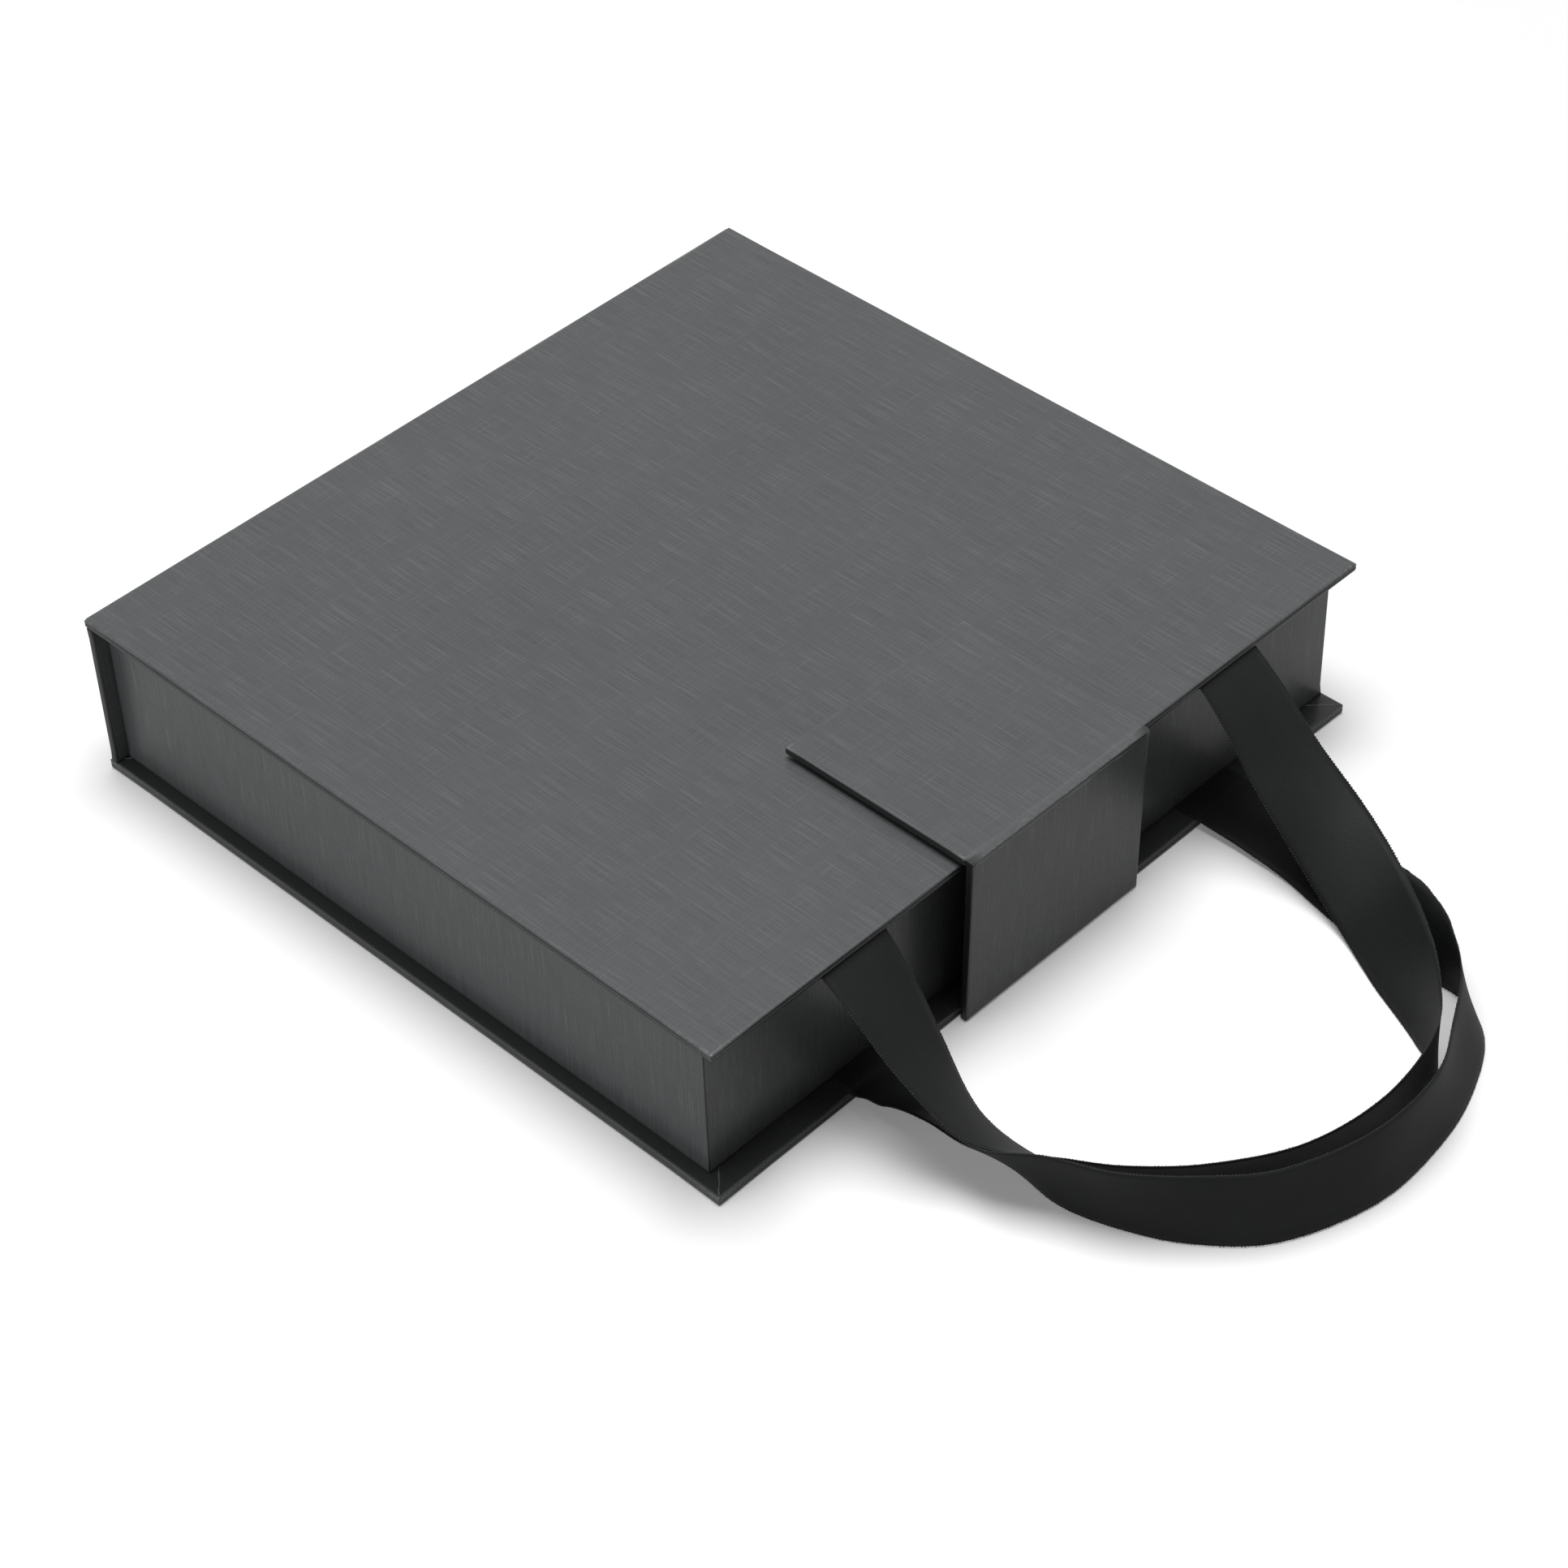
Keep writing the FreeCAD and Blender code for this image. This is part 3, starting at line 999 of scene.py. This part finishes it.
class GIFTBOX_OT_spine(bpy.types.Operator):
    """Spine in its paper, and the paper folds that join it to the lid and the bottom"""

    bl_idname = "giftbox.spine"
    bl_label = "Spine cover"

    def execute(self, context):
        low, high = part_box("spine_wrap")
        rings = []
        flat_low = Vector((low.x, low.z, low.y))
        flat_high = Vector((high.x, high.z, high.y))
        for ring in wrapped_panel(flat_low, flat_high, 0.02 * MM):
            rings.append([Vector((co.x, co.z, co.y)) for co in ring])
        spine = piece("spine_cover", loft(rings), wall_paper())
        # Painted shade: the spine's end faces are painted dark.
        set_marks(spine, "seam", lambda co: 1.0 if abs(co.x) > high.x - 0.6 * MM else 0.0)
        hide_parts("spine_wrap")
        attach(spine, "base")
        lid_low, lid_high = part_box("lid_wrap")
        fold = self.fold("lid_fold", lid_low.z - 4 * MM, lid_high.z - 0.3 * MM)
        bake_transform(fold)
        bottom_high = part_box("bottom_wrap")[1]
        fold = self.fold("bottom_fold", 0.4 * MM, bottom_high.z + 4 * MM)
        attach(fold, "base")
        return {"FINISHED"}

    def fold(self, name, z_low, z_high):
        """Thin paper strip up the back, across the whole width, with a slight waver."""
        sizes = settings().sizes
        low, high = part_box("lid_wrap")
        rows = []
        steps = 10
        columns = 40
        inset = 0.7 * MM
        paper = 0.1 * MM
        for i in range(steps + 1):
            z = z_low + (z_high - z_low) * i / steps
            ease = math.sin(math.pi * i / steps)
            ring = []
            for k in range(columns + 1):
                x = low.x + inset + (high.x - low.x - 2 * inset) * k / columns
                wave = sizes.wave * 0.6 * math.sin(x * SPINE_WAVES) * ease
                ring.append(Vector((x, high.y + paper + 0.06 * MM * ease + wave * 0.3, z)))
            rows.append(ring + [co - Vector((0, paper, 0)) for co in reversed(ring)])
        return piece(name, loft(rows), wall_paper())


class GIFTBOX_OT_tray(bpy.types.Operator):
    """Tray in its paper, over the rim and turned in, with a folded seam at each corner"""

    bl_idname = "giftbox.tray"
    bl_label = "Tray cover"

    def execute(self, context):
        sizes = settings().sizes
        low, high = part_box("tray_wrap")
        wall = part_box("tray_front_wall")
        width = wall[1].y - wall[0].y + 2 * sizes.paper
        seam = high.z - sizes.rim_turn_in
        under = 0.18 * MM
        inner = width - under
        profile = (
            (0.0, low.z), (0.0, low.z + 1 * MM), (0.0, low.z + 4 * MM), (0.0, high.z - 8 * MM),
            (0.0, high.z - 0.7 * MM), (0.06 * MM, high.z - 0.35 * MM),
            (0.3 * MM, high.z - 0.1 * MM), (0.8 * MM, high.z), (width - 0.8 * MM, high.z),
            (width - 0.3 * MM, high.z - 0.1 * MM), (width, high.z - 0.7 * MM),
            (width, seam), (inner, seam), (inner, high.z - 0.3 * MM), (under, high.z - 0.3 * MM),
            (under, low.z),
        )
        middle = (low + high) / 2
        half = (high - low) / 2
        nub = 0.35 * MM
        spread = 1.4 * MM
        rise = 3 * MM
        rings = []
        for inset, z in profile:
            radius = max(0.55 * MM - inset * 0.3, 0.15 * MM)
            ring = []
            for p in rounded_ring(half.x - inset, half.y - inset, radius, arc=6):
                co = Vector((middle.x + p.x, middle.y + p.y, z))
                gap = math.hypot(half.x - abs(p.x), half.y - abs(p.y))
                if inset == 0:
                    foot = max(0.0, 1 - (z - low.z) / rise)
                    bulge = nub * foot * math.exp(-(gap / spread) ** 2)
                    co.x += math.copysign(bulge, p.x)
                    co.y += math.copysign(bulge, p.y)
                ring.append(co)
            rings.append(ring)
        tray = piece("tray_cover", loft(rings, closed=True), wall_paper())
        set_marks(tray, "wear", lambda co: 0.25 if co.z > high.z - 0.4 * MM else 0.0)
        set_marks(tray, "seam", lambda co: self.seam(co, low, high))
        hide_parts("tray_wrap")
        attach(tray, "base")
        return {"FINISHED"}

    def seam(self, co, low, high):
        """Dark line of the folded paper edge at an outside corner."""
        gap_x = min(co.x - low.x, high.x - co.x)
        gap_y = min(co.y - low.y, high.y - co.y)
        return 0.9 if max(gap_x, gap_y) < 0.35 * MM else 0.0


class GIFTBOX_OT_tab(bpy.types.Operator):
    """Closing tab: the tongue on the lid, the hanging flap and the worn fold between them"""

    bl_idname = "giftbox.tab"
    bl_label = "Closing tab"

    def execute(self, context):
        low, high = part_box("tongue_wrap")
        bulge = 0.03 * MM
        rim = 0.25 * MM
        tongue = piece("tongue_cover", loft(wrapped_panel(low, high, bulge)), flat_paper())
        set_marks(tongue, "wear", corner_wear(low, high, 1.2 * MM))
        # Painted shade: the tongue's edge faces below a thin top rim are painted dark.
        set_marks(tongue, "seam", edge_shade(low, high, 0.85, low.z, high.z - rim))
        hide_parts("tongue_wrap")
        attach(tongue, "lid")
        flap_low, flap_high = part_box("flap_wrap")
        thickness = high.z - low.z
        lean = (flap_high.y - flap_low.y - thickness) / (flap_high.z - flap_low.z)
        flat_low = Vector((flap_low.x, flap_low.z, 0))
        flat_high = Vector((flap_high.x, flap_high.z, thickness))
        rings = []
        for ring in wrapped_panel(flat_low, flat_high, bulge):
            rings.append([
                Vector((co.x, flap_low.y + (thickness - co.z) + lean * (flap_high.z - co.y), co.y))
                for co in ring])
        flap = piece("flap_cover", loft(rings), wall_paper())
        centre = (flap_low.x + flap_high.x) / 2
        side = flap_high.x - 0.4 * MM - centre
        # Painted shade: the flap's side faces behind a thin front rim are painted dark.
        set_marks(flap, "seam", lambda co: 0.85 if abs(co.x - centre) > side and (
            co.y > flap_low.y + lean * (flap_high.z - co.z) + rim) else 0.0)
        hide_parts("flap_wrap")
        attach(flap, "flap")
        self.fold(low, high, flap_low, lean)
        return {"FINISHED"}

    def fold(self, low, high, flap_low, lean):
        """Paper crease round the tab's front edge, with rubbed fibres along it."""
        front, top = flap_low.y - 0.05 * MM, high.z + 0.04 * MM
        radius = 0.5 * MM
        tuck = 0.08 * MM
        paper = 0.09 * MM
        over = 0.05 * MM
        arc, columns, knots = 6, 48, 60
        section = [Vector((0, low.y + 0.6 * MM, top - tuck))]
        for i in range(arc + 1):
            turn = math.radians(90 * i / arc)
            section.append(Vector((0, front + radius - radius * math.sin(turn),
                                   top - radius + radius * math.cos(turn))))
        for drop in (0.75 * MM, 1.2 * MM, 2.4 * MM):
            section.append(Vector((0, front + lean * drop, top - drop)))
        section[-1].y += tuck
        inner = [co + Vector((0, paper, -paper)) for co in section]
        rings = []
        for k in range(columns + 1):
            x = low.x - over + (high.x - low.x + 2 * over) * k / columns
            waver = 0.05 * MM * math.sin(x * 330) + 0.04 * MM * math.sin(x * 890 + 1)
            rings.append([Vector((x, co.y - waver * 0.4, co.z + waver * 0.5))
                          for co in section + inner[::-1]])
        strip = piece("tab_fold", loft(rings), flat_paper())
        crease = Vector((0, front, top))
        set_marks(strip, "wear", lambda co: 0.3 * math.exp(
            -(Vector((0, co.y - crease.y, co.z - crease.z)).length / (0.3 * MM)) ** 2))
        # Painted shade: a dark line 0.6 to 0.9 mm below the top of the crease.
        set_marks(strip, "seam", lambda co: 0.6 if 0.6 * MM < top - co.z < 0.9 * MM else 0.0)
        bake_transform(strip)
        line = [Vector((low.x + (high.x - low.x) * k / knots, front + 0.12 * MM, top - 0.1 * MM))
                for k in range(knots + 1)]
        fibres = grow("fold_fibres", [line], fibre_tree(),
                      {"Pitch": 0.55 * MM, "Tuft": 0.09 * MM, "Share": 0.15}, worn_fibre())
        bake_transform(fibres)


class GIFTBOX_OT_ribbons(bpy.types.Operator):
    """The two ribbon handles with their woven edges"""

    bl_idname = "giftbox.ribbons"
    bl_label = "Ribbon handles"

    def execute(self, context):
        sizes = settings().sizes
        selvedge = selvedge_tree()
        handles = (
            ("upper", UPPER_STATIONS, "lid", 56 * MM, 8 * MM, "hung", ["lid_board", "table"]),
            ("lower", LOWER_STATIONS, "base", 3.4 * MM, 7 * MM, "laid", ["bottom_board", "table"]),
        )
        for name, stations, body, height, reach, held, rests in handles:
            strip, edges, length = ribbon(name + "_ribbon", stations)
            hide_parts(name + "_handle", name + "_handle_tails")
            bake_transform(strip)
            loops = grow(name + "_selvedge", edges, selvedge,
                         {"Pitch": sizes.bead_pitch, "Bead": sizes.bead}, ribbon_loops())
            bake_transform(loops)
        return {"FINISHED"}


STEPS = (
    GIFTBOX_OT_stage,
    GIFTBOX_OT_boards,
    GIFTBOX_OT_lid,
    GIFTBOX_OT_bottom,
    GIFTBOX_OT_spine,
    GIFTBOX_OT_tray,
    GIFTBOX_OT_tab,
    GIFTBOX_OT_ribbons,
)


class GIFTBOX_PT_panel(bpy.types.Panel):
    """Settings and steps of the gift box"""

    bl_idname = "GIFTBOX_PT_panel"
    bl_label = "Gift box"
    bl_space_type = "VIEW_3D"
    bl_region_type = "UI"
    bl_category = "Gift box"

    def draw(self, context):
        layout = self.layout
        for group in (settings().colours, settings().sizes, settings().view):
            for key in group.__annotations__:
                layout.prop(group, key)
        for step in STEPS:
            layout.operator(step.bl_idname)


GROUPS = (GiftBoxColours, GiftBoxSizes, GiftBoxView, GiftBoxSettings)


def register():
    """Adds the classes and the scene's settings."""
    for cls in GROUPS + STEPS + (GIFTBOX_PT_panel,):
        bpy.utils.register_class(cls)
    bpy.types.Scene.gift_box = PointerProperty(type=GiftBoxSettings)


def unregister():
    """Takes them away again."""
    del bpy.types.Scene.gift_box
    for cls in reversed(GROUPS + STEPS + (GIFTBOX_PT_panel,)):
        bpy.utils.unregister_class(cls)


def main():
    """Builds the whole box."""
    register()
    for step in STEPS:
        group, name = step.bl_idname.split(".")
        getattr(getattr(bpy.ops, group), name)()


if __name__ == "__main__":
    main()
